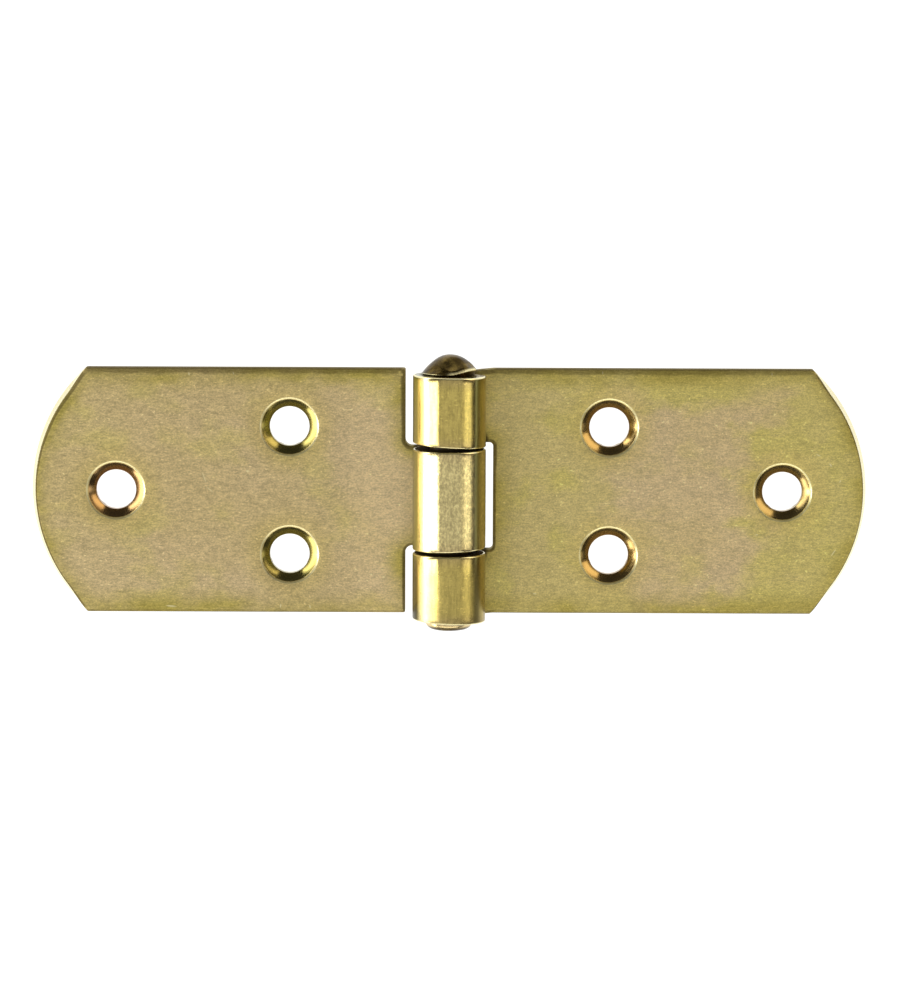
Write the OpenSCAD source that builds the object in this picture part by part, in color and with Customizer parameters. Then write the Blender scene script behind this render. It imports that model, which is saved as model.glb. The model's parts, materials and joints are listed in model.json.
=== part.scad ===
// Narrow butt hinge of pressed sheet steel, lying open and flat on its back.
// X runs across the two leaves, Y along the pin and Z up, out of the front faces.
// The pin's axis crosses the Y = 0 plane above the origin, and the back faces lie on Z = 0.

/* [Leaves] */
// Length of a leaf, from the pin's axis to the tip of its rounded end
leaf_length = 51; // [46:0.5:80]
// Width of a leaf, along the pin
leaf_width = 30; // [27:0.5:38]
// Thickness of the sheet
sheet = 2; // [1.4:0.1:2.4]
// Radius of the rounded end
end_radius = 20; // [17:0.5:30]
// Roll of the pressed front edges
edge_roll = 0.4; // [0.1:0.05:0.6]
// Fillet in the inner corners of the notches
notch_fillet = 0.5; // [0.2:0.1:0.8]

/* [Barrel] */
// Diameter of the pin
pin_d = 4.8; // [3.6:0.1:5.6]
// Play between the pin and the knuckles, on the radius
pin_play = 0.05; // [0.02:0.01:0.1]
// Length of the middle knuckle
middle_knuckle = 12.2; // [9:0.1:16]
// How far the middle knuckle sits below the middle of the barrel
middle_drop = 0.1; // [-0.5:0.05:0.5]
// Gap between two knuckles
knuckle_gap = 0.5; // [0.3:0.05:1]
// Gap between the barrel and the edge of the leaf opposite
notch_gap = 0.9; // [0.6:0.1:2]
// Gap between the end of the rolled sheet and its own leaf
lip_gap = 0.2; // [0.1:0.05:0.6]
// How far the upper end of the barrel stops short of the leaf's edge
upper_set_in = 0.5; // [0:0.05:0.6]
// How far the lower end of the barrel passes the leaf's edge
lower_stand_out = 0.45; // [0.1:0.05:1]

/* [Pin ends] */
// Diameter of the domed head
head_d = 6.8; // [5.6:0.1:8]
// Height of the domed head
head_h = 2.6; // [1.5:0.1:3]
// Depth of the hammer flats in the domed head
flat_depth = 0.14; // [0.05:0.01:0.25]
// Diameter of the riveted tail
tail_d = 5.8; // [5.2:0.1:8]
// Height of the riveted tail
tail_h = 1.15; // [0.6:0.05:2]
// Diameter of the flat end of the tail
tail_flat_d = 2.8; // [1.5:0.1:4]

/* [Screw holes] */
// Diameter of a screw hole
hole_d = 4.85; // [3.5:0.05:5.5]
// Diameter of the countersink at the front face
sink_d = 7.1; // [6.6:0.1:9]
// Depth of the countersink
sink_depth = 1.05; // [0.5:0.05:1.2]
// Width of the countersink's shallow rim
rim_width = 0.22; // [0.1:0.02:0.4]
// Depth of the countersink's shallow rim
rim_depth = 0.12; // [0.05:0.01:0.3]
// Distance from the pin's axis to the pair of holes
pair_reach = 19.5; // [14:0.5:26]
// Spacing of the pair of holes
pair_spacing = 15.7; // [10:0.1:19]
// Distance from the tip of the leaf to the single hole
tip_inset = 10.3; // [7:0.1:14]

/* [Hidden] */
$fn = 96;

bore_r = pin_d / 2 + pin_play;
barrel_r = bore_r + sheet;
notch_edge = barrel_r + notch_gap;
half_width = leaf_width / 2;

// Spans of the knuckles along the pin
barrel_top = half_width - upper_set_in;
barrel_bottom = -half_width - lower_stand_out;
barrel_middle = (barrel_top + barrel_bottom) / 2 - middle_drop;
middle_top = barrel_middle + middle_knuckle / 2;
middle_bottom = barrel_middle - middle_knuckle / 2;
upper_low = middle_top + knuckle_gap;
lower_high = middle_bottom - knuckle_gap;

// Angle below the horizontal at which the rolled sheet ends
lip_angle = asin((bore_r - lip_gap) / barrel_r);

// The straight edges run into the rounded end at this X, and the end's arc turns this far each way
end_centre = leaf_length - end_radius;
end_turn = asin(min(1, half_width / end_radius));
end_start = end_centre + end_radius * cos(end_turn);

hole_places = [
    [pair_reach, pair_spacing / 2],
    [pair_reach, -pair_spacing / 2],
    [leaf_length - tip_inset, 0],
];

// Directions of the hammer flats on the head: turn about the pin and tilt away from its end
hammer_flats = [[0, 8], [35, 48], [105, 56], [165, 44], [230, 54], [300, 46]];

leaf_colour = [0.71, 0.64, 0.42];
pin_colour = [0.60, 0.53, 0.32];

// The rolls of the notch edges stop this far from the notches' corners, a little short of the fillets
roll_stop = notch_fillet + 0.1;

// How far a cutting shape reaches past what it cuts, and a joined one into what it joins
overrun = 1;
// How far two shapes of one piece lap into each other where they only meet face to face
lap = 0.1;
// The arcs of rolled and filleted edges lean by this share of their size, so they cross their faces cleanly
arc_lean = 0.25;

// Region between a sharp corner at the origin and the arc that rounds it, with the corner's outside
module corner_web(size) {
    lean = size * arc_lean;
    difference() {
        translate([-size - lean, -size - lean]) square(size + lean + overrun);
        translate([-size - lean, -size - lean]) circle(norm([size + lean, lean]));
    }
}

// What the press rolls off a straight front edge: the leaf lies to the right of the way along it
module roll_along(start, finish) {
    way = finish - start;
    translate([start.x, start.y, sheet])
        rotate(atan2(way.y, way.x))
            rotate([90, 0, 90]) linear_extrude(norm(way)) corner_web(edge_roll);
}

// What the press rolls off the rounded end
module roll_round_end() {
    reach = end_turn + 5;
    translate([end_centre, 0, sheet])
        rotate(-reach)
            rotate_extrude(angle = 2 * reach) translate([end_radius, 0]) corner_web(edge_roll);
}

// What the press rolls off both long edges, up to the rounded end: the upper one starts below the pin, so that
// it runs out along a tongue that leans inwards
module roll_long_edges() {
    roll_along([-overrun, half_width], [end_start + overrun, half_width]);
    roll_along([end_start + overrun, -half_width], [notch_edge, -half_width]);
}

// Outline of a leaf from its notch edge to its rounded end
module leaf_outline() {
    intersection() {
        translate([notch_edge, -half_width]) square([leaf_length, leaf_width]);
        union() {
            translate([end_centre, 0]) circle(end_radius, $fn = 192);
            translate([0, -half_width]) square([end_centre, leaf_width]);
        }
    }
}

// Tongue of sheet from the notch edge to below the pin, between two heights at each of its ends
module tongue(at_pin, at_leaf) {
    polygon([
        [0, at_pin[0]],
        [0, at_pin[1]],
        [notch_edge, at_leaf[1]],
        [notch_edge + overrun, at_leaf[1]],
        [notch_edge + overrun, at_leaf[0]],
        [notch_edge, at_leaf[0]],
    ]);
}

// Sheet rolled round the pin from below it, over the top and back down to its own leaf
module rolled_sheet(low, high) {
    far = 2 * barrel_r;
    opening = [
        [0, 0],
        [0, -bore_r],
        [lap, -bore_r],
        [lap, -far],
        far * [cos(lip_angle), -sin(lip_angle)],
    ];
    translate([0, high, barrel_r]) rotate([90, 0, 0]) linear_extrude(high - low)
        difference() {
            circle(barrel_r);
            circle(bore_r);
            polygon(opening);
        }
}

// Countersunk hole: a round land, a cone and a shallow pressed rim
module screw_hole() {
    sink_r = sink_d / 2;
    rim_slope = rim_width / rim_depth;
    rotate_extrude() polygon([
        [0, -overrun],
        [hole_d / 2, -overrun],
        [hole_d / 2, sheet - sink_depth],
        [sink_r - rim_width, sheet - rim_depth],
        [sink_r + overrun * rim_slope, sheet + overrun],
        [0, sheet + overrun],
    ]);
}

module screw_holes() {
    for (place = hole_places) translate(place) screw_hole();
}

// Leaf with one knuckle, drawn towards +X
module one_knuckle_leaf() {
    difference() {
        linear_extrude(sheet) {
            leaf_outline();
            tongue([middle_bottom, middle_top], [middle_bottom, middle_top]);
            translate([notch_edge, middle_top]) mirror([0, 1]) corner_web(notch_fillet);
            translate([notch_edge, middle_bottom]) corner_web(notch_fillet);
        }
        roll_long_edges();
        roll_round_end();
        roll_along([notch_edge, middle_top + roll_stop], [notch_edge, half_width + overrun]);
        roll_along([notch_edge, -half_width - overrun], [notch_edge, middle_bottom - roll_stop]);
        screw_holes();
    }
    rolled_sheet(middle_bottom, middle_top);
}

// Leaf with two knuckles, drawn towards +X
module two_knuckle_leaf() {
    difference() {
        linear_extrude(sheet) {
            leaf_outline();
            tongue([upper_low, barrel_top], [upper_low, half_width]);
            tongue([barrel_bottom, lower_high], [-half_width, lower_high]);
            translate([notch_edge, upper_low]) corner_web(notch_fillet);
            translate([notch_edge, lower_high]) mirror([0, 1]) corner_web(notch_fillet);
        }
        roll_long_edges();
        roll_along([notch_edge, -half_width], [-overrun, barrel_bottom - lower_stand_out * overrun / notch_edge]);
        roll_round_end();
        roll_along([notch_edge, lower_high + roll_stop], [notch_edge, upper_low - roll_stop]);
        screw_holes();
    }
    rolled_sheet(upper_low, barrel_top);
    rolled_sheet(barrel_bottom, lower_high);
}

module left_leaf() {
    color(leaf_colour) mirror([1, 0, 0]) one_knuckle_leaf();
}

module right_leaf() {
    color(leaf_colour) two_knuckle_leaf();
}

// Radius of the sphere whose cap has this radius at its foot, this radius at its flat and this height
function cap_sphere(foot, flat, height) =
    let (rise = (foot * foot - flat * flat - height * height) / (2 * height))
    norm([foot, rise]);

// Half section of a domed cap that stands on Y = 0, cut flat at its height
module cap_section(foot, flat, height) {
    sphere_r = cap_sphere(foot, flat, height);
    intersection() {
        square([foot + overrun, height]);
        translate([0, -sqrt(sphere_r * sphere_r - foot * foot)]) circle(sphere_r);
    }
}

// Hammered flats on the domed head, which is drawn upwards from Z = 0
module hammer_marks() {
    sphere_r = cap_sphere(head_d / 2, 0, head_h);
    for (mark = hammer_flats)
        translate([0, 0, head_h - sphere_r])
            rotate([0, mark[1], mark[0]])
                translate([-head_d / 2, -head_d / 2, sphere_r - flat_depth]) cube(head_d);
}

// Riveted pin, drawn along +Y
module hinge_pin() {
    color(pin_colour) translate([0, 0, barrel_r]) rotate([-90, 0, 0]) {
        translate([0, 0, barrel_bottom - lap])
            cylinder(h = barrel_top - barrel_bottom + 2 * lap, d = pin_d);
        translate([0, 0, barrel_bottom]) mirror([0, 0, 1])
            rotate_extrude() cap_section(tail_d / 2, tail_flat_d / 2, tail_h);
        translate([0, 0, barrel_top]) difference() {
            rotate_extrude() cap_section(head_d / 2, 0, head_h);
            hammer_marks();
        }
    }
}

left_leaf();
right_leaf();
hinge_pin();
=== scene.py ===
"""Narrow butt hinge in yellow passivated zinc, lying open on a white floor in soft studio light."""
import json
import math
import bmesh
import bpy
import numpy as np
from mathutils import Matrix, Vector, noise
from mathutils.geometry import delaunay_2d_cdt


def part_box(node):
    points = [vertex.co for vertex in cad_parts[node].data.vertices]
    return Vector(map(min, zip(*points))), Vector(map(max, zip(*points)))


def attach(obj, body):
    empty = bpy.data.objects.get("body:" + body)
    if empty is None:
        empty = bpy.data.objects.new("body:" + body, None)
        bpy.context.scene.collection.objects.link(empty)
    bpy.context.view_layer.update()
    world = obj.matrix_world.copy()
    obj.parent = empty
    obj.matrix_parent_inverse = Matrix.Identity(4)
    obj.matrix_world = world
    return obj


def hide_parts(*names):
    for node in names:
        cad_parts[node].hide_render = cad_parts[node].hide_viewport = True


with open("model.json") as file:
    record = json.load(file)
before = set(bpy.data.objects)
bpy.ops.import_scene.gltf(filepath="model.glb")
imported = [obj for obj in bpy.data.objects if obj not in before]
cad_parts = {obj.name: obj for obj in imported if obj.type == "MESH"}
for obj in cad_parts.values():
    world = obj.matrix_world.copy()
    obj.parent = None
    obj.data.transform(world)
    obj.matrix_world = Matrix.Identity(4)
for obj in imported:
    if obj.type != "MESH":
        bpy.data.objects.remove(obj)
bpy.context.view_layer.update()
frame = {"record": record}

# Shapes are drawn in millimetres, and scaled to metres when their mesh is made
MM = 0.001
QUARTER = math.pi / 2


def box_mm(node):
    low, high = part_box(node)
    return low / MM, high / MM


leaf_low, leaf_high = box_mm("right_leaf")
pin_low, pin_high = box_mm("hinge_pin")

# Leaves: the notch corners of the leaf with one knuckle have the wide fillet
LEAF_LENGTH = leaf_high.x
HALF_WIDTH = leaf_high.y
SHEET = 2.0
END_RADIUS = 20.0
END_CENTRE = LEAF_LENGTH - END_RADIUS
END_TURN = math.asin(HALF_WIDTH / END_RADIUS)
NOTCH_FILLET = 0.5
WIDE_FILLET = 0.85
CORNER_RADIUS = 0.2

# Barrel
BARREL_R = leaf_high.z / 2
BORE_R = BARREL_R - SHEET
NOTCH_GAP = 0.9
NOTCH_EDGE = BARREL_R + NOTCH_GAP
MIDDLE_KNUCKLE = 12.2
MIDDLE_DROP = 0.1
KNUCKLE_GAP = 0.5
UPPER_SET_IN = 0.5
BARREL_BOTTOM = leaf_low.y
BARREL_TOP = HALF_WIDTH - UPPER_SET_IN
BARREL_MIDDLE = (BARREL_TOP + BARREL_BOTTOM) / 2 - MIDDLE_DROP
MIDDLE_TOP = BARREL_MIDDLE + MIDDLE_KNUCKLE / 2
MIDDLE_BOTTOM = BARREL_MIDDLE - MIDDLE_KNUCKLE / 2
UPPER_LOW = MIDDLE_TOP + KNUCKLE_GAP
LOWER_HIGH = MIDDLE_BOTTOM - KNUCKLE_GAP
LIP_GAP = 0.2
CURL_TURN = 1.5 * math.pi + math.asin((BORE_R - LIP_GAP) / BARREL_R)

# Shallow dents of the rolled sheet: depth, and waves a millimetre
DENT = 0.011
DENT_WAVES = 0.34

# Pressed edges: the roll of the front edge on the leaf and on a tongue, how much it varies along the edge,
# and the small round of the back edge on the leaf and on a knuckle
ROLL_WIDTH = 0.9
ROLL_HEIGHT = 0.36
TONGUE_ROLL_WIDTH = 0.2
TONGUE_ROLL_HEIGHT = 0.15
ROLL_VARIES = 0.22
ROLL_WAVES = 0.45
BACK_ROUND = 0.07
KNUCKLE_ROUND = 0.2

# Steps of the back round and of the front roll, and the places in an edge's section where the cut wall and
# the roll start
BACK_STEPS = 4
ROLL_STEPS = 7
WALL_START = BACK_STEPS + 1
ROLL_START = WALL_START + 2
WALL_FOOT = 0.06
WALL_HEAD = 0.05

# Reach from the pin at which the straight edges' look starts to change into the rounded end's, at which the
# painted shade has changed, and at which the shape has
END_FROM = END_CENTRE + 13
END_SHADED = END_CENTRE + 14
END_FULL = END_CENTRE + 16

# Painted light on the edges: how strong the painted highlight is on the rounded ends of the knuckles, and how
# dark the painted shade is on the line inside a leaf's end, on the notch edges and on the long edges
LIP_HIGHLIGHT = 0.8
END_LINE_SHADE = 0.7
NOTCH_SHADE = 0.6
LONG_EDGE_SHADE = 0.8

# Places in an edge's section up to which the painted shade is full, and at which it ends
SHADE_FULL = ROLL_START + 3
SHADE_END = ROLL_START + 6

# Screw holes, from the front face down: radius and depth of the lines that the countersink turns
HOLE_R = 2.425
SINK_LINES = [
    (3.66, 0.0),
    (3.57, 0.02),
    (3.50, 0.06),
    (3.38, 0.13),
    (3.33, 0.16),
    (HOLE_R + 0.05, 0.88),
    (HOLE_R, 0.94),
    (HOLE_R, SHEET - 0.08),
    (HOLE_R + 0.06, SHEET),
]
SINK_R = SINK_LINES[0][0]
CONE_START = 4
# Painted highlight on a countersink's rim
RIM_HIGHLIGHT = 0.8
HOLE_STEPS = 72

# Widths over which the tints of the outline, of the holes and of a knuckle's ends run out
OUTLINE_TINT = 3.5
HOLE_TINT = 3.0
KNUCKLE_TINT = 2.2

# Steps along an edge, across the flat faces and round a knuckle, and degrees along arcs
EDGE_STEP = 0.4
FACE_STEP = 0.9
CURL_STEP = math.radians(2.5)
KNUCKLE_STEP = 0.4
END_STEP_DEG = 1.2
FILLET_STEP_DEG = 15
CORNER_STEP_DEG = 30

# Room that the flat faces' grid leaves at the outline and at a hole, in steps, and the way it is cut
OUTLINE_ROOM = 0.5
HOLE_ROOM = 0.4
CUT_BY_LINKS = 2
SAME_POINT = 1e-6

# Edges that turn by more than this stay sharp
LEAF_SHARP_DEG = 32
PIN_SHARP_DEG = 40


def smoothstep(low, high, value):
    share = min(1.0, max(0.0, (value - low) / (high - low)))
    return share * share * (3 - 2 * share)


def ripple(x, y, waves, seed):
    """Smooth noise between about -1 and 1"""
    return noise.noise(Vector((x * waves, y * waves, seed * 7.31)))


def flat(x, y):
    return Vector((x, y))


def turns(count):
    """Angles of a full turn in so many steps"""
    return [2 * math.pi * i / count for i in range(count)]


def line(start, finish):
    """Points from start towards finish, without finish itself"""
    way = finish - start
    count = max(1, round(way.length / EDGE_STEP))
    return [start + way * (i / count) for i in range(count)]


def arc(centre, radius, start, finish, step_deg):
    count = max(2, math.ceil(abs(finish - start) / math.radians(step_deg)))
    angles = [start + (finish - start) * i / count for i in range(count + 1)]
    return [centre + radius * flat(math.cos(a), math.sin(a)) for a in angles]


def joined(points):
    """The same path with the corners that stand between points filled in by straight runs"""
    path = []
    for here, there in zip(points, points[1:]):
        path += line(here, there)
    return path + [points[-1]]


def round_the_leaf():
    """Corners of the long edges and the rounded end, from the notch edge's upper corner to its lower one"""
    end = arc(flat(END_CENTRE, 0), END_RADIUS, END_TURN, -END_TURN, END_STEP_DEG)
    return [flat(NOTCH_EDGE, HALF_WIDTH), *end, flat(NOTCH_EDGE, -HALF_WIDTH)]


def fillet(y, radius, start, finish):
    """Fillet in a notch corner, about a centre at this Y"""
    return arc(flat(NOTCH_EDGE - radius, y), radius, start, finish, FILLET_STEP_DEG)


def one_knuckle_edges():
    """The only edge of the leaf with one knuckle, from the top of its tongue round to the bottom"""
    corner_x = NOTCH_EDGE + CORNER_RADIUS
    corner_y = HALF_WIDTH - CORNER_RADIUS
    points = [
        flat(0, MIDDLE_TOP),
        *fillet(MIDDLE_TOP + WIDE_FILLET, WIDE_FILLET, -QUARTER, 0),
        *arc(flat(corner_x, corner_y), CORNER_RADIUS, 2 * QUARTER, QUARTER, CORNER_STEP_DEG),
        *round_the_leaf()[1:-1],
        *arc(flat(corner_x, -corner_y), CORNER_RADIUS, -QUARTER, -2 * QUARTER, CORNER_STEP_DEG),
        *fillet(MIDDLE_BOTTOM - WIDE_FILLET, WIDE_FILLET, 0, QUARTER),
        flat(0, MIDDLE_BOTTOM),
    ]
    return [joined(points)]


def two_knuckle_edges():
    """Outer edge and notch edge of the leaf with two knuckles, each with the sheet on its right"""
    outer = [flat(0, BARREL_TOP), *round_the_leaf(), flat(0, BARREL_BOTTOM)]
    notch = [
        flat(0, LOWER_HIGH),
        *fillet(LOWER_HIGH + NOTCH_FILLET, NOTCH_FILLET, -QUARTER, 0),
        *fillet(UPPER_LOW - NOTCH_FILLET, NOTCH_FILLET, 0, QUARTER),
        flat(0, UPPER_LOW),
    ]
    return [joined(outer), joined(notch)]


def inward(path):
    """Mitred directions from each point of a path into the sheet, which lies on its right"""
    ways = [(b - a).normalized() for a, b in zip(path, path[1:])]
    ways = [ways[0], *ways, ways[-1]]
    directions = []
    for before, after in zip(ways, ways[1:]):
        here = flat(before.y, -before.x)
        there = flat(after.y, -after.x)
        middle = (here + there).normalized()
        directions.append(middle / max(0.5, middle.dot(here)))
    return directions


def edge_section(x, y, end_taper, seed):
    """Inset and height of the points across an edge, from the back face up to the front face"""
    on_leaf = smoothstep(1.0, NOTCH_EDGE, x)
    at_end = smoothstep(END_FROM, END_FULL, x)
    upper = smoothstep(-2, 13, y)
    share = (1 - at_end) * (0.55 + 0.45 * upper) + at_end * (0.3 + 0.4 * upper)
    uneven = share * (1 + ROLL_VARIES * ripple(x, y, ROLL_WAVES, seed))
    width = (TONGUE_ROLL_WIDTH + (ROLL_WIDTH - TONGUE_ROLL_WIDTH) * on_leaf) * uneven
    height = (TONGUE_ROLL_HEIGHT + (ROLL_HEIGHT - TONGUE_ROLL_HEIGHT) * on_leaf) * uneven
    back = KNUCKLE_ROUND + (BACK_ROUND - KNUCKLE_ROUND) * on_leaf
    taper = end_taper * at_end
    section = []
    for i in range(BACK_STEPS + 1):
        turn = i / BACK_STEPS * QUARTER
        section.append((back * (1 - math.sin(turn)), back * (1 - math.cos(turn))))
    section += [(0, back + WALL_FOOT), (taper, SHEET - height - WALL_HEAD)]
    for i in range(ROLL_STEPS + 1):
        turn = i / ROLL_STEPS * QUARTER
        section.append((taper + width * (1 - math.cos(turn)), SHEET - height * (1 - math.sin(turn))))
    return section


class LeafMesh:
    """Sheet leaf drawn towards +X, with its edges, holes and rolled knuckles in one closed mesh.

    Each vertex carries its place on the unrolled sheet, how near it is to an edge and to a hole, whether it
    is in a countersink, and its painted shade on edges and between the knuckles, painted highlights and
    painted shade on knuckle sides.
    """

    MARKS = ("edge", "hole", "cut", "sink", "bare", "dull")

    def __init__(self, edges, knuckles, holes, end_taper, end_line, lit_side, seed):
        self.bm = bmesh.new()
        self.sheet = self.bm.verts.layers.float_vector.new("sheet")
        self.marks = {name: self.bm.verts.layers.float.new(name) for name in self.MARKS}
        self.end_taper = end_taper
        self.end_line = end_line
        self.lit_side = lit_side
        self.seed = seed
        self.outline = np.array([p[:] for path in edges for p in path])
        self.holes = holes
        rows = [self.sweep_edge(path) for path in edges]
        tongues = self.tongues(rows, knuckles)
        front = [self.ring(rows, [t["front"] for t in tongues], -1)]
        back = [self.ring(rows, [t["back"] for t in tongues], 0)]
        for centre in holes:
            top, bottom = self.turn_hole(centre)
            front.append(top)
            back.append(bottom)
        self.fill(front, SHEET)
        self.fill(back, 0.0)
        for tongue, knuckle in zip(tongues, knuckles):
            self.curl(tongue, knuckle)
        bmesh.ops.recalc_face_normals(self.bm, faces=self.bm.faces)

    def vert(self, x, y, z, sheet=None, **marks):
        made = self.bm.verts.new((x, y, z))
        made[self.sheet] = sheet or (x, y, z)
        for name, value in marks.items():
            made[self.marks[name]] = value
        return made

    def quads(self, here, there):
        for a, b, c, d in zip(here, here[1:], there[1:], there):
            self.bm.faces.new((a, b, c, d))

    def edge_shade_and_highlight(self, point, k):
        """Painted shade and painted highlight of an edge at a point of the outline, at place k of its section
        """
        cut_side = k >= WALL_START
        fade = 1.0 if k < SHADE_FULL else 0.5 * (k < SHADE_END)
        if point.x < NOTCH_EDGE - WIDE_FILLET:
            # Knuckle ends: painted shade on their walls, where shade falls between the knuckles, and a
            # painted highlight on their lips
            lip = LIP_HIGHLIGHT * (0 < k < WALL_START)
            if abs(point.y) <= HALF_WIDTH - 1:
                return float(cut_side), lip
            to_leaf = smoothstep(1.0, NOTCH_EDGE - NOTCH_FILLET, point.x)
            share = to_leaf if k == WALL_START else max(fade, 1 - to_leaf)
            return LONG_EDGE_SHADE * cut_side * share, lip * (1 - to_leaf)
        if point.x < NOTCH_EDGE + CORNER_RADIUS:
            # Notch edges: painted shade
            return NOTCH_SHADE * (WALL_START <= k < SHADE_END), 0.0
        # End: a painted dark line for the roll's dark reflection, a painted highlight on its wall; long
        # edges: painted shade
        at_end = smoothstep(END_FROM, END_SHADED, point.x)
        end_line = END_LINE_SHADE * at_end * (ROLL_START <= k < ROLL_START + self.end_line)
        long_edge = LONG_EDGE_SHADE * (1 - at_end) * cut_side * fade
        return max(end_line, long_edge), at_end * (WALL_START <= k < ROLL_START)

    def sweep_edge(self, path):
        rows = []
        for point, way in zip(path, inward(path)):
            row = []
            for k, (inset, height) in enumerate(edge_section(point.x, point.y, self.end_taper, self.seed)):
                spot = point + way * inset
                # Painted shade and painted highlight of the edge at this place
                cut, bare = self.edge_shade_and_highlight(point, k)
                row.append(self.vert(spot.x, spot.y, height, edge=1.0, cut=cut, bare=bare))
            rows.append(row)
        for here, there in zip(rows, rows[1:]):
            self.quads(here, there)
        return rows

    def across(self, start, finish):
        """Points between the ends of a tongue's front or back face, on the line below the pin"""
        count = max(2, round((finish.co - start.co).length / KNUCKLE_STEP))
        return [self.vert(*start.co.lerp(finish.co, i / count)) for i in range(1, count)]

    def tongues(self, rows, knuckles):
        """Ends of each tongue, from its lower edge to its upper one"""
        wall_top = ROLL_START - 1
        starts = [path[0] for path in rows]
        ends = [path[-1] for path in rows]
        made = []
        for lower, upper, _ in knuckles:
            high = min(starts, key=lambda row: abs(row[wall_top].co.y - upper))
            low = min(ends, key=lambda row: abs(row[wall_top].co.y - lower))
            made.append({
                "low": low,
                "high": high,
                "front": self.across(low[-1], high[-1]),
                "back": self.across(low[0], high[0]),
            })
        return made

    def ring(self, rows, lines, k):
        """Closed outline of the front or back face: each edge, then the tongue line that follows its end"""
        around = []
        for path, points in zip(rows, lines):
            around += [row[k] for row in path] + points
        return around

    def turn_hole(self, centre):
        """Rings of a countersunk hole: the first is in the front face and the last in the back one"""
        rings = []
        for k, (radius, depth) in enumerate(SINK_LINES):
            sink = float(CONE_START <= k < len(SINK_LINES) - 1)
            # Painted highlight on the rim's rounded lines
            bare = RIM_HIGHLIGHT if 0 < k < CONE_START - 1 else 0.0
            ring = []
            for turn in turns(HOLE_STEPS):
                x = centre.x + radius * math.cos(turn)
                y = centre.y + radius * math.sin(turn)
                ring.append(self.vert(x, y, SHEET - depth, hole=1.0, sink=sink, bare=bare))
            rings.append(ring)
        for here, there in zip(rings, rings[1:]):
            self.quads(here + here[:1], there + there[:1])
        return rings[0], rings[-1]

    def near(self, points):
        """How near points lie to the outline and to a hole: 1 at the edge, 0 at some millimetres from it"""
        from_edge = np.linalg.norm(points[:, None, :] - self.outline[None, :, :], axis=2).min(axis=1)
        centres = np.array([c[:] for c in self.holes])
        from_hole = np.linalg.norm(points[:, None, :] - centres[None, :, :], axis=2).min(axis=1)
        edge = np.clip(1 - from_edge / OUTLINE_TINT, 0, 1)
        hole = np.clip(1 - (from_hole - SINK_R) / HOLE_TINT, 0, 1)
        return edge, hole

    def fill(self, loops, height):
        """Flat face between its outline and its holes, on a grid that the outline cuts"""
        verts = [v for loop in loops for v in loop]
        points = [flat(v.co.x, v.co.y) for v in verts]
        links = []
        first = 0
        for loop in loops:
            count = len(loop)
            links += [(first + i, first + (i + 1) % count) for i in range(count)]
            first += count
        border = np.array([p[:] for p in points])
        xs = np.arange(FACE_STEP, LEAF_LENGTH, FACE_STEP)
        ys = np.arange(-HALF_WIDTH - 1, HALF_WIDTH + 1, FACE_STEP)
        grid = np.array([(x + (j % 2) * FACE_STEP / 2, y) for j, y in enumerate(ys) for x in xs])
        from_border = np.linalg.norm(grid[:, None, :] - border[None, :, :], axis=2).min(axis=1)
        clear = from_border > FACE_STEP * OUTLINE_ROOM
        for centre in self.holes:
            clear &= np.linalg.norm(grid - np.array(centre[:]), axis=1) > SINK_R + FACE_STEP * HOLE_ROOM
        points += [flat(*p) for p in grid[clear]]
        out, _, faces, origins, _, _ = delaunay_2d_cdt(points, links, [], CUT_BY_LINKS, SAME_POINT)
        edge, hole = self.near(np.array([p[:] for p in out]))
        made = []
        for i, point in enumerate(out):
            known = [o for o in origins[i] if o < len(verts)]
            if known:
                made.append(verts[known[0]])
            else:
                made.append(self.vert(*point, height, edge=edge[i], hole=hole[i]))
        opening = SINK_R if height else HOLE_R
        for face in faces:
            middle = sum((out[i] for i in face), flat(0, 0)) / len(face)
            if all((middle - centre).length > opening for centre in self.holes):
                self.bm.faces.new([made[i] for i in face])

    def knuckle_shade_and_highlight(self, x, turn):
        """Painted shade towards a knuckle's sides, and a painted highlight band on its lit side, at this X
        and turn
        """
        steep = abs(math.sin(turn))
        if x * self.lit_side > 0:
            highlight = smoothstep(0.5, 0.7, steep) * (1 - smoothstep(0.77, 0.87, steep))
            return smoothstep(0.77, 0.9, steep), 0.4 * highlight
        return smoothstep(0.64, 0.72, steep) * (0.9 - 0.6 * smoothstep(0.78, 0.92, steep)), 0.0

    def curl(self, tongue, knuckle):
        """Sheet rolled from below the pin, up its far side, over the top and back down to its own leaf"""
        lower, upper, slants = knuckle
        loop = tongue["low"] + tongue["front"] + tongue["high"][::-1] + tongue["back"][::-1]
        section = [(v.co.y, v.co.z, v[self.marks["cut"]], v[self.marks["bare"]]) for v in loop]
        count = round(CURL_TURN / CURL_STEP)
        here = loop
        for i in range(1, count + 1):
            turn = CURL_TURN * i / count
            ring = []
            for y, depth, cut, bare in section:
                share = (y - lower) / (upper - lower)
                lean = slants[0] * (1 - share) + slants[1] * share
                along = y + lean * math.sin(turn - math.pi) * smoothstep(0, 0.6, turn)
                dent = DENT * (1 + ripple(turn * BARREL_R, along, DENT_WAVES, self.seed + 3))
                reach = BARREL_R - depth - dent * (1 - depth / SHEET) * smoothstep(0, 0.5, turn)
                x = -reach * math.sin(turn)
                z = BARREL_R - reach * math.cos(turn)
                unrolled = (-turn * BARREL_R, y, depth)
                edge = max(0.0, 1 - min(y - lower, upper - y) / KNUCKLE_TINT)
                # Painted shade on the knuckle's sides, and a painted highlight on its lit side
                dull, highlight = self.knuckle_shade_and_highlight(x, turn)
                highlight = max(bare, highlight)
                ring.append(self.vert(x, along, z, unrolled, edge=edge, cut=cut, bare=highlight, dull=dull))
            self.quads(here + here[:1], ring + ring[:1])
            here = ring
        self.bm.faces.new(here)

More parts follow.
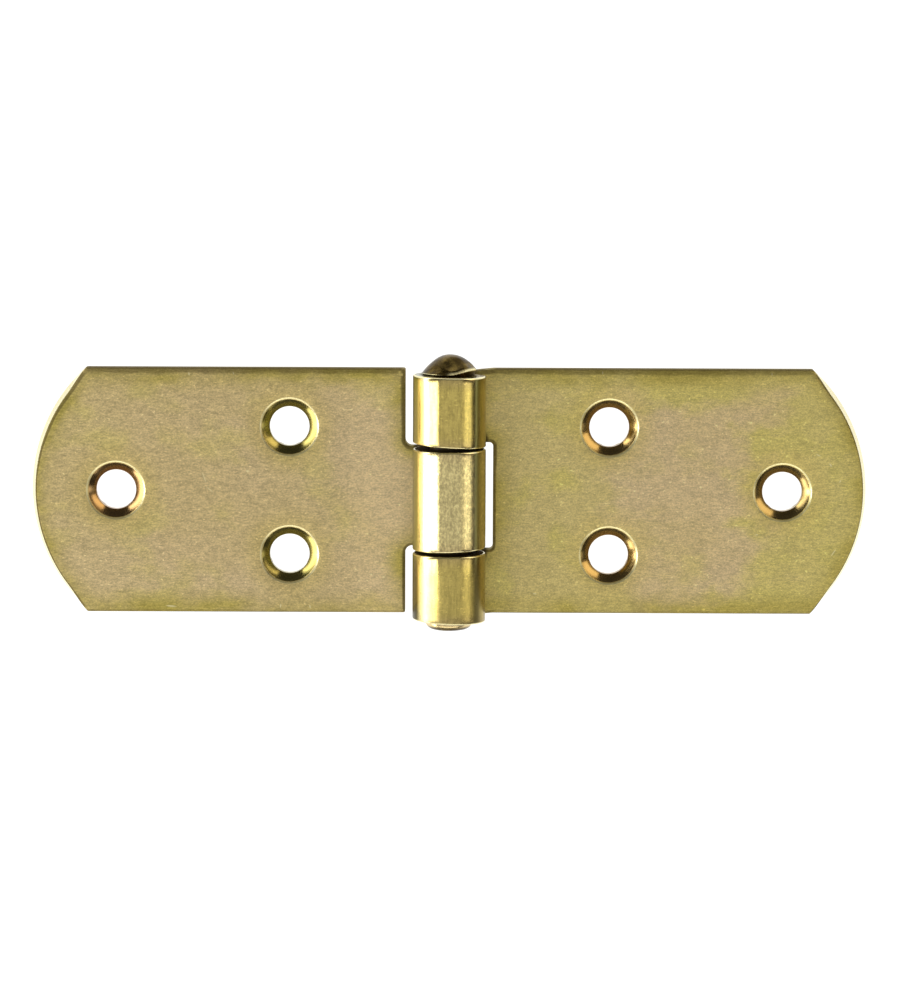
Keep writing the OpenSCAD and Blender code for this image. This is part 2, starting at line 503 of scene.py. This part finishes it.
    def mesh(self, name, mirrored):
        if mirrored:
            bmesh.ops.scale(self.bm, vec=(-1, 1, 1), verts=self.bm.verts)
            bmesh.ops.reverse_faces(self.bm, faces=self.bm.faces)
        return finished_mesh(self.bm, name, LEAF_SHARP_DEG)


def finished_mesh(bm, name, sharp_deg):
    """Mesh in metres, smooth but for the edges that turn by more than this angle"""
    bmesh.ops.scale(bm, vec=(MM, MM, MM), verts=bm.verts)
    mesh = bpy.data.meshes.new(name)
    bm.to_mesh(mesh)
    bm.free()
    mesh.polygons.foreach_set("use_smooth", [True] * len(mesh.polygons))
    mesh.set_sharp_from_angle(angle=math.radians(sharp_deg))
    return mesh


def hole_centres(side):
    """Centres of a leaf's screw holes, drawn towards +X"""
    bores = [m for m in frame["record"]["mounts"] if m["kind"] == "bore"]
    places = [m["pos_m"] for m in bores if m["name"].startswith(side)]
    return [flat(abs(p[0]) / MM, p[1] / MM) for p in places]


def place(name, mesh, body, node, material):
    piece = bpy.data.objects.new(name, mesh)
    bpy.context.scene.collection.objects.link(piece)
    mesh.materials.append(material)
    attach(piece, body)
    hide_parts(node)


# Pin: its shaft, and the reach of its head and tail from the knuckles' ends
PIN_INSET = 0.02
HEAD_REACH = pin_high.y - BARREL_TOP - PIN_INSET
TAIL_REACH = BARREL_BOTTOM - pin_low.y - PIN_INSET
PIN_R = 2.4
PIN_STEPS = 180

# Head: foot on the knuckle, rounded lip, and dome, with the shares of its outline at which the lip and the
# dome start
HEAD_R = 3.38
HEAD_FOOT_R = PIN_R + 0.55
LIP_ROUND = 0.2
LIP_FROM = 0.12
DOME_FROM = 0.3
DOME_POWER = 2.15
DOME_SKEW = 0.15
CROWN_DROP = 0.06
HEAD_STEPS = 90

# Lift of the lip above the knuckle, and how much more a crease lifts it on the right
LIP_LIFT = 0.3
CREASE_LIFT = 0.5

# Tail: its foot, and the round of its riveted end
TAIL_R = 2.88
TAIL_FOOT_R = PIN_R + 0.2
TAIL_FOOT = 0.1
TAIL_ROUND = 1.1
TAIL_VARIES = 0.03
TAIL_STEPS = 8

# Hammer blows on the head: turn about the pin from the front towards +X, tilt from the pin's end, and depth
HAMMER_BLOWS = [
    (12, 44, 0.24),
    (-38, 62, 0.10),
    (60, 60, 0.10),
    (130, 55, 0.12),
    (200, 48, 0.16),
    (250, 40, 0.12),
]
BLOW_REACH = 0.3
PIT_DEPTH = 0.008
PIT_WAVES = 2.6


def from_front(turn):
    """The same turn between half a turn to the left and half a turn to the right"""
    return turn if turn < math.pi else turn - 2 * math.pi


def towards(turn, tilt):
    """Direction at this turn about the pin and this tilt from its upper end"""
    return Vector((math.sin(turn) * math.sin(tilt), math.cos(tilt), math.cos(turn) * math.sin(tilt)))


def head_point(turn, share):
    """Radius and reach of the hammered head: share 0 is the foot on the knuckle, 1 the crown"""
    side = from_front(turn)
    lift = LIP_LIFT + CREASE_LIFT * smoothstep(-0.1, 0.9, side) * (1 - smoothstep(1.2, 2.0, side))
    lip_r = HEAD_R - LIP_ROUND
    lip_low = 0.8 * lift
    if share < LIP_FROM:
        grow = share / LIP_FROM
        return HEAD_FOOT_R + (lip_r - HEAD_FOOT_R) * grow, lip_low * grow
    if share < DOME_FROM:
        bend = (share - LIP_FROM) / (DOME_FROM - LIP_FROM) * QUARTER
        return lip_r + LIP_ROUND * math.sin(bend), lip_low + (lift - lip_low) * (1 - math.cos(bend))
    tilt = QUARTER * (1 - (share - DOME_FROM) / (1 - DOME_FROM))
    radius = HEAD_R * math.sin(tilt)
    power = DOME_POWER + DOME_SKEW * math.sin(turn)
    rise = (HEAD_REACH - lift) * (1 - math.sin(tilt) ** power)
    direction = towards(turn, tilt)
    shrink = 1.0
    for blow_turn, blow_tilt, depth in HAMMER_BLOWS:
        near = direction.dot(towards(math.radians(blow_turn), math.radians(blow_tilt)))
        if near > BLOW_REACH:
            shrink = min(shrink, (1 - depth / HEAD_R) / near)
    shrink -= PIT_DEPTH * (1 + noise.noise(direction * PIT_WAVES))
    return radius * shrink, lift + rise * shrink


def crease(turn, share):
    """Painted highlight on the head's lip: most on its right, where a crease lifts it, and less on its left
    """
    side = from_front(turn)
    on_right = smoothstep(-0.2, 0.1, side) * (1 - smoothstep(1.1, 1.4, side))
    on_left = smoothstep(-1.5, -1.2, side) * (1 - smoothstep(-0.5, -0.2, side))
    right = on_right * (1 - smoothstep(0.38, 0.48, share))
    left = on_left * (1 - smoothstep(0.32, 0.38, share))
    return (right + 0.8 * left) * smoothstep(0.14, 0.2, share)


def pin_mesh():
    """Pin with a hammered head and a riveted tail, drawn along +Y"""
    bm = bmesh.new()
    bare = bm.verts.layers.float.new("bare")
    head = []
    for step in range(HEAD_STEPS):
        share = step / HEAD_STEPS
        ring = []
        for turn in turns(PIN_STEPS):
            radius, reach = head_point(turn, share)
            x = radius * math.sin(turn)
            z = BARREL_R + radius * math.cos(turn)
            ring.append(bm.verts.new((x, BARREL_TOP + reach, z)))
            # Painted highlight on the head's lip and crease
            ring[-1][bare] = crease(turn, share)
        head.append(ring)
    outline = [(PIN_R, BARREL_TOP), (PIN_R, BARREL_BOTTOM), (TAIL_FOOT_R, BARREL_BOTTOM)]
    for i in range(TAIL_STEPS + 1):
        bend = i / TAIL_STEPS * QUARTER
        radius = TAIL_R - TAIL_ROUND * (1 - math.cos(bend))
        drop = TAIL_FOOT + (TAIL_REACH - TAIL_FOOT - PIN_INSET) * math.sin(bend)
        outline.append((radius, BARREL_BOTTOM - drop))
    shaft = []
    for radius, y in outline:
        ring = []
        for turn in turns(PIN_STEPS):
            wave = noise.noise(Vector((math.sin(turn), math.cos(turn), y)))
            reach = radius * (1 + TAIL_VARIES * wave * (y < BARREL_BOTTOM))
            ring.append(bm.verts.new((reach * math.sin(turn), y, BARREL_R + reach * math.cos(turn))))
        shaft.append(ring)
    chain = head[::-1] + shaft
    for here, there in zip(chain, chain[1:]):
        for i in range(PIN_STEPS):
            j = (i + 1) % PIN_STEPS
            bm.faces.new((here[i], here[j], there[j], there[i]))
    crown = bm.verts.new((0, BARREL_TOP + HEAD_REACH - CROWN_DROP, BARREL_R))
    for i in range(PIN_STEPS):
        bm.faces.new((chain[0][(i + 1) % PIN_STEPS], chain[0][i], crown))
    bm.faces.new(chain[-1])
    bmesh.ops.recalc_face_normals(bm, faces=bm.faces)
    return finished_mesh(bm, "hinge_pin", PIN_SHARP_DEG)


class Shader:
    """Short way to build a node tree"""

    def __init__(self, tree):
        self.tree = tree
        tree.nodes.clear()

    def add(self, kind, inputs=None, **settings):
        made = self.tree.nodes.new(kind)
        for name, value in settings.items():
            setattr(made, name, value)
        for name, value in (inputs or {}).items():
            self.feed(made.inputs[name], value)
        return made

    def feed(self, socket, value):
        if isinstance(value, bpy.types.NodeSocket):
            self.tree.links.new(value, socket)
        else:
            socket.default_value = value

    def attribute(self, name, output="Fac"):
        return self.add("ShaderNodeAttribute", attribute_name=name).outputs[output]

    def noise(self, vector, waves, seed, detail=2.0, roughness=0.5):
        """Noise of a field, with so many waves a unit each way"""
        moved = self.add(
            "ShaderNodeMapping",
            {"Vector": vector, "Scale": waves, "Location": (seed * 13.7, seed * 5.3, seed * 3.1)},
        )
        made = self.add(
            "ShaderNodeTexNoise",
            {"Vector": moved.outputs["Vector"], "Scale": 1.0, "Detail": detail, "Roughness": roughness},
        )
        return made.outputs["Fac"]

    def ramp(self, value, low, high, to_low=0.0, to_high=1.0):
        made = self.add(
            "ShaderNodeMapRange",
            {"Value": value, "From Min": low, "From Max": high, "To Min": to_low, "To Max": to_high},
            interpolation_type="SMOOTHSTEP",
        )
        return made.outputs["Result"]

    def spread(self, value, reach, middle=0.0, low=0.3, high=0.7):
        """A noise turned into values this far to both sides of a middle one"""
        return self.ramp(value, low, high, middle - reach, middle + reach)

    def stroke(self, vector, x, y, turn_deg, length, width):
        """Share of a scratch or nick at a place in a field of millimetres: 1 in its middle, 0 outside it"""
        moved = self.add(
            "ShaderNodeMapping",
            {
                "Vector": vector,
                "Location": (x, y, 0),
                "Rotation": (0, 0, math.radians(turn_deg)),
                "Scale": (length / 2, width / 2, 1000),
            },
            vector_type="TEXTURE",
        )
        away = self.add("ShaderNodeVectorMath", {0: moved.outputs["Vector"]}, operation="LENGTH")
        return self.ramp(away.outputs["Value"], 1.0, 0.4)

    def math(self, operation, first, second):
        return self.add("ShaderNodeMath", {0: first, 1: second}, operation=operation).outputs[0]

    def plus(self, first, second):
        return self.math("ADD", first, second)

    def minus(self, first, second):
        return self.math("SUBTRACT", first, second)

    def times(self, first, second):
        return self.math("MULTIPLY", first, second)

    def most(self, first, second):
        return self.math("MAXIMUM", first, second)

    def mix(self, share, first, second, blend="MIX"):
        """Colour between two colours: inputs 6 and 7 and output 2 are the node's colour sockets"""
        made = self.add("ShaderNodeMix", {"Factor": share}, data_type="RGBA", blend_type=blend)
        self.feed(made.inputs[6], first)
        self.feed(made.inputs[7], second)
        return made.outputs[2]

    def bump(self, height, strength):
        relief = {"Height": height, "Strength": strength, "Distance": BUMP_DEPTH}
        return self.add("ShaderNodeBump", relief).outputs["Normal"]

    def metal(self, colour, metallic, rough, bump):
        """Finished surface: where it is not metallic, it is matt with a faint gloss"""
        made = self.add(
            "ShaderNodeBsdfPrincipled",
            {
                "Base Color": colour,
                "Metallic": metallic,
                "Roughness": rough,
                "Normal": bump,
                "Specular IOR Level": FAINT_GLOSS,
            },
        )
        self.add("ShaderNodeOutputMaterial", {"Surface": made.outputs["BSDF"]})


BUMP_DEPTH = 0.00005
FAINT_GLOSS = 0.1

# Reflectance of the passivation on the leaves: its zones, its greener edges and golden hole surrounds
TAN = (0.735, 0.58, 0.295, 1)
ROSY = (0.75, 0.59, 0.33, 1)
OLIVE = (0.72, 0.615, 0.21, 1)
MOSS = (0.56, 0.46, 0.12, 1)
GOLD = (0.72, 0.57, 0.20, 1)

# Reflectance of the painted highlights on lips, rims and the head, which scratches share, of the knuckles'
# ends, of the painted shade on the knuckles' sides, darker on the low knuckle, and of the painted shade on
# edges and gaps
HIGHLIGHT_AND_WEAR = (1.0, 0.91, 0.52, 1)
RUSSET = (0.42, 0.31, 0.16, 1)
SIDE_SHADE = (0.17, 0.165, 0.055, 1)
LOW_SIDE_SHADE = (0.075, 0.06, 0.018, 1)
SHADE_DARK = (0.07, 0.05, 0.018, 1)

# Reflectance of the pin
BROWN = (0.055, 0.036, 0.009, 1)
BRONZE = (0.18, 0.125, 0.032, 1)

# Nicks and scratches of each leaf: reach from the pin, place along it, turn, length and width
MARK_SHINE = 0.6
LEFT_MARKS = [
    (31.7, 14.3, 80, 0.5, 0.25),
    (26.3, 14.4, 70, 0.5, 0.2),
    (29.9, 1.6, 70, 1.8, 0.16),
    (29.2, 0.1, 40, 1.3, 0.14),
    (24.6, 2.4, 10, 0.6, 0.25),
    (34.0, -14.3, 5, 1.6, 0.3),
    (20.6, -14.2, 100, 0.7, 0.2),
    (17.0, -14.3, 80, 0.6, 0.2),
    (9.5, -10.3, 30, 0.4, 0.25),
    (8.0, -10.6, 0, 0.35, 0.25),
]
RIGHT_MARKS = [
    (18.6, 14.6, 90, 0.5, 0.2),
    (39.2, 14.5, 90, 0.5, 0.2),
    (50.6, -1.3, 80, 0.9, 0.35),
    (46.5, 3.4, 120, 0.7, 0.22),
    (47.7, 1.4, 60, 0.5, 0.2),
    (45.0, 4.6, 150, 0.8, 0.18),
    (47.0, -7.4, 55, 1.4, 0.2),
    (37.6, -5.2, 20, 0.5, 0.18),
    (10.5, -12.6, 0, 0.6, 0.2),
]

# Roughness of the countersinks, whatever the barrel's is
SINK_ROUGH = 0.18


def new_material(name):
    material = bpy.data.materials.new(name)
    material.use_nodes = True
    return material, Shader(material.node_tree)


def leaf_zinc(
    name, seed, gain, near_gain, barrel_tint, barrel_rough, wear, near_sink, tip_sink,
    olive_near, olive_far, olive_top, marks,
):
    """Satin rolled sheet in yellow zinc, glossier where it is rolled round the pin.

    The gains brighten the leaf and its part near the barrel. The olive shares green the leaf near the barrel,
    towards its end and along its upper edge. The sink tints are for the pair of holes and for the tip hole.
    """
    material, s = new_material(name)
    sheet = s.attribute("sheet", "Vector")
    edge = s.attribute("edge")
    hole = s.attribute("hole")
    # Painted light from the mesh: shade on edges and in gaps, highlights, shade on the knuckles' sides;
    # scratches add wear
    cut = s.attribute("cut")
    sink = s.attribute("sink")
    bare = s.attribute("bare")
    dull = s.attribute("dull")
    for mark in marks:
        bare = s.most(bare, s.times(s.stroke(sheet, *mark), MARK_SHINE))
    split = s.add("ShaderNodeSeparateXYZ", {"Vector": sheet})
    run = split.outputs["X"]
    along = split.outputs["Y"]
    rolled = s.ramp(run, 2.5, -1.0)
    clouds = s.noise(sheet, (0.05, 0.07, 0.05), seed, 3.0)
    patches = s.noise(sheet, (0.14, 0.2, 0.2), seed + 1, 4.0)
    mottle = s.noise(sheet, (0.7, 1.0, 1.0), seed + 2, 4.0, 0.6)
    grain = s.noise(sheet, (1.4, 5.2, 2.5), seed + 3, 2.0, 0.7)
    specks = s.noise(sheet, (2.0, 3.0, 2.8), seed + 4, 2.0, 0.6)
    grit = s.noise(sheet, (5.0, 6.5, 5.0), seed + 5, 1.0, 0.6)
    scuffs = s.noise(sheet, (3.4, 0.5, 2.0), seed + 6, 3.0, 0.6)
    flecks = s.noise(sheet, (3.2, 2.0, 2.0), seed + 8, 4.0, 0.7)

    # Zones of the passivation, with bounds that wander
    colour = s.mix(s.ramp(clouds, 0.4, 0.6), TAN, ROSY)
    drift = s.plus(s.spread(patches, 3.5, 0.0, 0.25, 0.75), s.spread(clouds, 3.0, 0.0, 0.35, 0.65))
    wander = s.plus(run, drift)
    ends = s.plus(s.ramp(wander, 25.0, 19.5, 0.0, olive_near), s.ramp(wander, 34.5, 41.0, 0.0, olive_far))
    rise = s.plus(along, s.spread(patches, 2.0, 0.0, 0.25, 0.75))
    upper = s.ramp(rise, 8.5, 13.5, 0.0, olive_top)
    green = s.plus(s.most(ends, upper), s.ramp(patches, 0.5, 0.72, 0.0, 0.5))
    colour = s.mix(green, colour, OLIVE)
    mossy = s.times(s.ramp(edge, 0.0, 1.0), s.ramp(patches, 0.3, 0.7, 0.35, 1.0))
    colour = s.mix(mossy, colour, MOSS)
    colour = s.mix(s.ramp(hole, 0.0, 1.0, 0.0, 0.5), colour, GOLD)
    colour = s.mix(s.times(rolled, 0.9), colour, barrel_tint)
    colour = s.mix(s.times(s.ramp(edge, 0.2, 1.0, 0.0, 0.5), rolled), colour, RUSSET)

    # Light and dark: grain and grit of the flat sheet, scuffs and flecks of the barrel, specks of both
    flat_share = s.minus(1.0, s.times(rolled, 0.65))
    texture = s.plus(s.spread(grain, 0.13), s.spread(grit, 0.13))
    shade = s.plus(s.spread(mottle, 0.06, gain, 0.25, 0.75), s.times(texture, flat_share))
    shade = s.plus(shade, s.ramp(run, 15.0, 9.0, 0.0, near_gain))
    shade = s.plus(shade, s.times(s.spread(scuffs, 0.14), rolled))
    # Painted shade: the low knuckle darker, where the light along it is weaker
    shade = s.minus(shade, s.times(s.ramp(along, -8.0, -14.0, 0.0, 0.08), rolled))
    shade = s.plus(shade, s.ramp(specks, 0.62, 0.74, 0.0, 0.45))
    shade = s.plus(shade, s.times(s.ramp(flecks, 0.4, 0.66, -0.1, 0.45), s.times(rolled, wear)))
    grey = s.add("ShaderNodeCombineColor", {"Red": shade, "Green": shade, "Blue": shade}).outputs["Color"]
    colour = s.mix(1.0, colour, grey, "MULTIPLY")

    # Countersinks, painted shade on knuckle sides, painted highlights and scratches, painted shade on edges
    # and in gaps
    colour = s.mix(sink, colour, s.mix(s.ramp(run, 28.0, 32.0), near_sink, tip_sink))
    colour = s.mix(dull, colour, s.mix(s.ramp(along, -7.0, -8.5), SIDE_SHADE, LOW_SIDE_SHADE))
    colour = s.mix(bare, colour, HIGHLIGHT_AND_WEAR)
    colour = s.mix(cut, colour, SHADE_DARK)

    # Satin sheet, glossy barrel and countersinks, matt painted shade: input 2 and 3 of the mix are its plain
    # values
    satin = s.plus(s.spread(grain, 0.04, 0.5), s.times(bare, -0.2))
    gloss = s.ramp(mottle, 0.3, 0.7, barrel_rough, barrel_rough + 0.04)
    gloss = s.plus(gloss, s.times(s.ramp(along, -8.0, -10.0, 0.0, 0.1), rolled))
    smooth = s.most(rolled, sink)
    rough = s.add("ShaderNodeMix", {"Factor": smooth, 2: satin, 3: gloss}, data_type="FLOAT").outputs[0]
    rough = s.minus(rough, s.times(sink, barrel_rough - SINK_ROUGH))
    rough = s.most(rough, cut)
    relief = s.plus(grain, s.times(mottle, 0.8))
    relief = s.times(relief, s.minus(1.0, s.times(smooth, 0.85)))
    s.metal(colour, s.minus(1.0, cut), rough, s.bump(relief, 0.12))
    return material


def pin_zinc():
    """Hammered steel with darker, browner passivation; a lighter painted highlight band round the tail;
    painted shade inside the knuckles
    """
    material, s = new_material("pin_zinc")
    spot = s.add("ShaderNodeTexCoord").outputs["Object"]
    along = s.add("ShaderNodeSeparateXYZ", {"Vector": spot}).outputs["Y"]
    bare = s.attribute("bare")
    clouds = s.noise(spot, (900, 900, 900), 5, 4.0, 0.6)
    fine = s.noise(spot, (3000, 3000, 3000), 6, 3.0, 0.6)

    def band(*ends_mm):
        """Share of the pin between two ends, each given as a place outside it and one inside"""
        low_out, low_in, high_in, high_out = [end * MM for end in ends_mm]
        return s.times(s.ramp(along, high_out, high_in), s.ramp(along, low_out, low_in))

    # Painted shade: the pin goes dark inside the knuckles, where it shows only in the gaps between them
    inside = band(BARREL_BOTTOM, BARREL_BOTTOM + 1, BARREL_TOP - 1, BARREL_TOP)
    # Painted highlight: a lighter band round the tail
    tail = band(BARREL_BOTTOM - 0.8, BARREL_BOTTOM - 0.45, BARREL_BOTTOM - 0.15, BARREL_BOTTOM)
    colour = s.mix(s.ramp(clouds, 0.4, 0.75), BROWN, BRONZE)
    colour = s.mix(inside, colour, SHADE_DARK)
    colour = s.mix(tail, colour, TAN)
    # Painted highlight on the head's lip and crease
    colour = s.mix(bare, colour, HIGHLIGHT_AND_WEAR)
    metallic = s.minus(1.0, s.most(s.times(bare, 0.5), inside))
    s.metal(colour, metallic, s.ramp(fine, 0.3, 0.7, 0.22, 0.36), s.bump(fine, 0.2))
    return material


# Each knuckle: lower end, upper end, and how far these ends lean along the pin as the sheet rolls round.
# The lit side is the barrel's left in the photo's view, and a leaf drawn towards -X is a mirrored one.
right_leaf = LeafMesh(
    two_knuckle_edges(),
    knuckles=[(BARREL_BOTTOM, LOWER_HIGH, (-0.15, 0.0)), (UPPER_LOW, BARREL_TOP, (-0.25, -0.07))],
    holes=hole_centres("right_"),
    end_taper=0.48,
    end_line=4,
    lit_side=-1,
    seed=2,
)
left_leaf = LeafMesh(
    one_knuckle_edges(),
    knuckles=[(MIDDLE_BOTTOM, MIDDLE_TOP, (-0.12, 0.0))],
    holes=hole_centres("left_"),
    end_taper=0.5,
    end_line=6,
    lit_side=1,
    seed=1,
)
left_zinc = leaf_zinc(
    "leaf_zinc_left",
    seed=1,
    gain=0.93,
    near_gain=0.12,
    barrel_tint=(0.62, 0.52, 0.235, 1),
    barrel_rough=0.2,
    wear=1.0,
    near_sink=(0.38, 0.325, 0.105, 1),
    tip_sink=(0.42, 0.27, 0.12, 1),
    olive_near=0.0,
    olive_far=0.1,
    olive_top=0.0,
    marks=LEFT_MARKS,
)
right_zinc = leaf_zinc(
    "leaf_zinc_right",
    seed=2,
    gain=1.0,
    near_gain=-0.03,
    barrel_tint=(0.6, 0.47, 0.132, 1),
    barrel_rough=0.17,
    wear=0.25,
    near_sink=(0.43, 0.3, 0.115, 1),
    tip_sink=(0.40, 0.29, 0.115, 1),
    olive_near=0.6,
    olive_far=0.85,
    olive_top=0.8,
    marks=RIGHT_MARKS,
)
left_mesh = left_leaf.mesh("left_leaf_look", True)
right_mesh = right_leaf.mesh("right_leaf_look", False)
place("left_leaf_look", left_mesh, "left_side", "left_leaf", left_zinc)
place("right_leaf_look", right_mesh, "right_side", "right_leaf", right_zinc)
place("hinge_pin_look", pin_mesh(), "right_side", "hinge_pin", pin_zinc())

# White floor, a little below the hinge so that the two do not share a plane; all from here on in metres
FLOOR_REACH = 3.0
FLOOR_DROP = 0.00002
FLOOR_GREY = (0.14, 0.14, 0.14, 1)
FLOOR_GLOW = 1.1


def floor():
    corners = [(x * FLOOR_REACH, y * FLOOR_REACH, 0) for x, y in ((-1, -1), (1, -1), (1, 1), (-1, 1))]
    mesh = bpy.data.meshes.new("floor")
    mesh.from_pydata(corners, [], [(0, 1, 2, 3)])
    plane = bpy.data.objects.new("floor", mesh)
    plane.location.z = -FLOOR_DROP
    bpy.context.scene.collection.objects.link(plane)
    material, s = new_material("floor_white")
    matt = s.add("ShaderNodeBsdfPrincipled", {
        "Base Color": FLOOR_GREY,
        "Roughness": 1.0,
        "Specular IOR Level": 0.0,
        "Emission Color": (1, 1, 1, 1),
        "Emission Strength": FLOOR_GLOW,
    })
    s.add("ShaderNodeOutputMaterial", {"Surface": matt.outputs["BSDF"]})
    mesh.materials.append(material)


# Tints of the lights, from white to a warm one
WHITE = (1.0, 1.0, 1.0)
MILK = (1.0, 0.98, 0.92)
CREAM = (1.0, 0.98, 0.9)
STRAW = (1.0, 0.97, 0.88)
LEMON = (1.0, 0.96, 0.75)
AMBER = (1.0, 0.84, 0.58)
WORLD_TINT = (1.0, 0.96, 0.88, 1)
WORLD_GLOW = 0.05


def softbox(name, centre, width, height, radiance, tint, level=False):
    """Area light of this radiance at a place, turned to the hinge or kept level"""
    light = bpy.data.lights.new(name, "AREA")
    light.shape = "RECTANGLE"
    light.size = width
    light.size_y = height
    light.energy = radiance * math.pi * width * height
    light.color = tint
    lamp = bpy.data.objects.new(name, light)
    lamp.location = centre
    if not level:
        lamp.rotation_euler = (-Vector(centre)).to_track_quat("-Z", "Y").to_euler()
    bpy.context.scene.collection.objects.link(lamp)


def aim(across, along, reach=1.0):
    """Place so many metres from the hinge, at these degrees from straight above it along X and Y"""
    a = math.radians(across)
    b = math.radians(along)
    return reach * Vector((math.sin(a) * math.cos(b), math.sin(b), math.cos(a) * math.cos(b)))


def studio():
    """Bright boxes on the left, dim warm ones on the right, low ones before and behind, a broad one above"""
    softbox("left_strip", aim(-55.5, -8), 0.22, 0.63, 7.0, WHITE)
    softbox("left_glow", aim(-36.5, -8), 0.4, 0.08, 1.8, WHITE)
    softbox("left_low", aim(-79.5, 0), 2.0, 0.34, 4.4, CREAM)
    softbox("right_strip", aim(58, -8), 0.22, 0.63, 0.85, STRAW)
    softbox("right_core", aim(59, -8, 0.97), 0.22, 0.36, 0.8, STRAW)
    softbox("right_back", (0.826, 0.516, 0.225), 0.9, 0.34, 2.3, AMBER)
    softbox("back_box", (0.0, 0.7, 0.7), 1.2, 0.4, 0.25, LEMON)
    softbox("front_box", (0.0, -0.84, 0.54), 1.6, 0.44, 1.8, MILK)
    softbox("top_box", (0.14, -0.45, 1.0), 1.39, 1.3, 0.6, WHITE, level=True)
    world = bpy.data.worlds.new("studio")
    world.use_nodes = True
    s = Shader(world.node_tree)
    dim = s.add("ShaderNodeBackground", {"Color": WORLD_TINT, "Strength": WORLD_GLOW})
    s.add("ShaderNodeOutputWorld", {"Surface": dim.outputs["Background"]})
    bpy.context.scene.world = world


# The camera looks down on the hinge, tilted towards the pin's head, from far enough to flatten the view
CAMERA_TILT = math.radians(7.5)
CAMERA_ROLL = math.radians(0.22)
CAMERA_DISTANCE = 0.5
PIXELS_PER_METRE = 8175
IMAGE_WIDTH = 900
SENSOR_WIDTH = 36
CLIP_START = 0.01
LOOK_AT = Vector((0.0001, -0.0012, 0.001))


def camera():
    lens = bpy.data.cameras.new("camera")
    lens.sensor_fit = "HORIZONTAL"
    lens.sensor_width = SENSOR_WIDTH
    lens.lens = SENSOR_WIDTH * CAMERA_DISTANCE * PIXELS_PER_METRE / IMAGE_WIDTH
    lens.clip_start = CLIP_START
    eye = bpy.data.objects.new("camera", lens)
    eye.location = LOOK_AT + CAMERA_DISTANCE * Vector((0, math.sin(CAMERA_TILT), math.cos(CAMERA_TILT)))
    turn = Matrix.Rotation(-CAMERA_TILT, 3, "X") @ Matrix.Rotation(CAMERA_ROLL, 3, "Z")
    eye.rotation_euler = turn.to_euler()
    bpy.context.scene.collection.objects.link(eye)
    bpy.context.scene.camera = eye


floor()
studio()
camera()
bpy.context.scene.view_settings.view_transform = "Standard"
